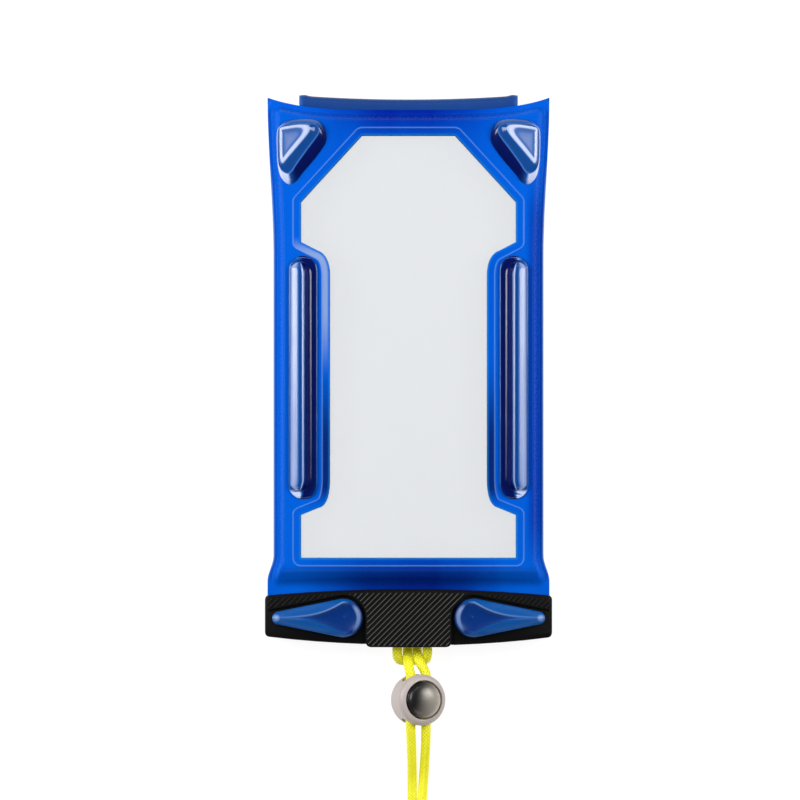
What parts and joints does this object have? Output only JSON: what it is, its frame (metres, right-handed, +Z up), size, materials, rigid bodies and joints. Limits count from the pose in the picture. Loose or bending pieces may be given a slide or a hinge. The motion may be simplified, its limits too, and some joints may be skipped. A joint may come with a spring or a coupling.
{
  "type": "waterproof phone pouch",
  "caption": "Blue film pouch with clear windows, air cushions, a black twist-lever clamp across its mouth and a yellow neck cord with a sprung lock.",
  "frame": {"origin": "on the surface that the pouch lies on, at the middle of its length and width without the neck cord", "axes": "+X across the pouch to the right seen from the front, +Y from the clamp to the closed end, +Z up out of the front window"},
  "size_m": [0.1148, 0.3359, 0.0198],
  "materials": {
    "film_blue": "glossy moulded film",
    "clear_film": "clear glossy film",
    "cushion_blue": "glossy moulded film",
    "clamp_black": "fine satin moulding",
    "grip_black": "ribbed satin moulding",
    "seal_grey": "soft matt",
    "lever_blue": "satin moulding",
    "shaft_grey": "satin",
    "cord_yellow": "braided cord",
    "tie_black": "hook and loop tape",
    "lock_grey": "fine satin moulding",
    "button_dark": "satin moulding",
    "spring_steel": "bright wire"
  },
  "bodies": {
    "pouch": {"front_frame": "film_blue", "rear_frame": "film_blue", "front_window": "clear_film", "rear_window": "clear_film", "side_cushion_left": "cushion_blue", "side_cushion_right": "cushion_blue", "corner_cushion_left": "cushion_blue", "corner_cushion_right": "cushion_blue", "rear_top_cushion": "cushion_blue", "clamp_front_bar": "clamp_black", "clamp_rear_bar": "clamp_black", "clamp_grip_plate": "grip_black", "seal_strip_front": "seal_grey", "seal_strip_rear": "seal_grey", "lanyard_hitch": "cord_yellow", "lanyard_strand_left": "cord_yellow", "lanyard_strand_right": "cord_yellow", "lanyard_coil": "cord_yellow", "coil_tie": "tie_black", "lock_body": "lock_grey", "lock_spring": "spring_steel"},
    "left_lever": {"lever_left": "lever_blue", "cam_shaft_left": "shaft_grey"},
    "right_lever": {"lever_right": "lever_blue", "cam_shaft_right": "shaft_grey"},
    "button": {"lock_button": "button_dark"}
  },
  "joints": [
    {"name": "left_lever_turn", "type": "hinge", "parent": "pouch", "child": "left_lever", "pos_m": [-0.0261, -0.0987, 0.0134], "axis": [0, 0, 1], "range_deg": [0, 90]},
    {"name": "right_lever_turn", "type": "hinge", "parent": "pouch", "child": "right_lever", "pos_m": [0.0261, -0.0987, 0.0134], "axis": [0, 0, 1], "range_deg": [-90, 0]},
    {"name": "lock_button_press", "type": "slide", "parent": "pouch", "child": "button", "axis": [-0.4226, 0, -0.9063], "range_m": [0, 0.0024], "stiffness_N_per_m": 400, "springref_m": -0.002, "deforming": ["lock_spring"]}
  ]
}
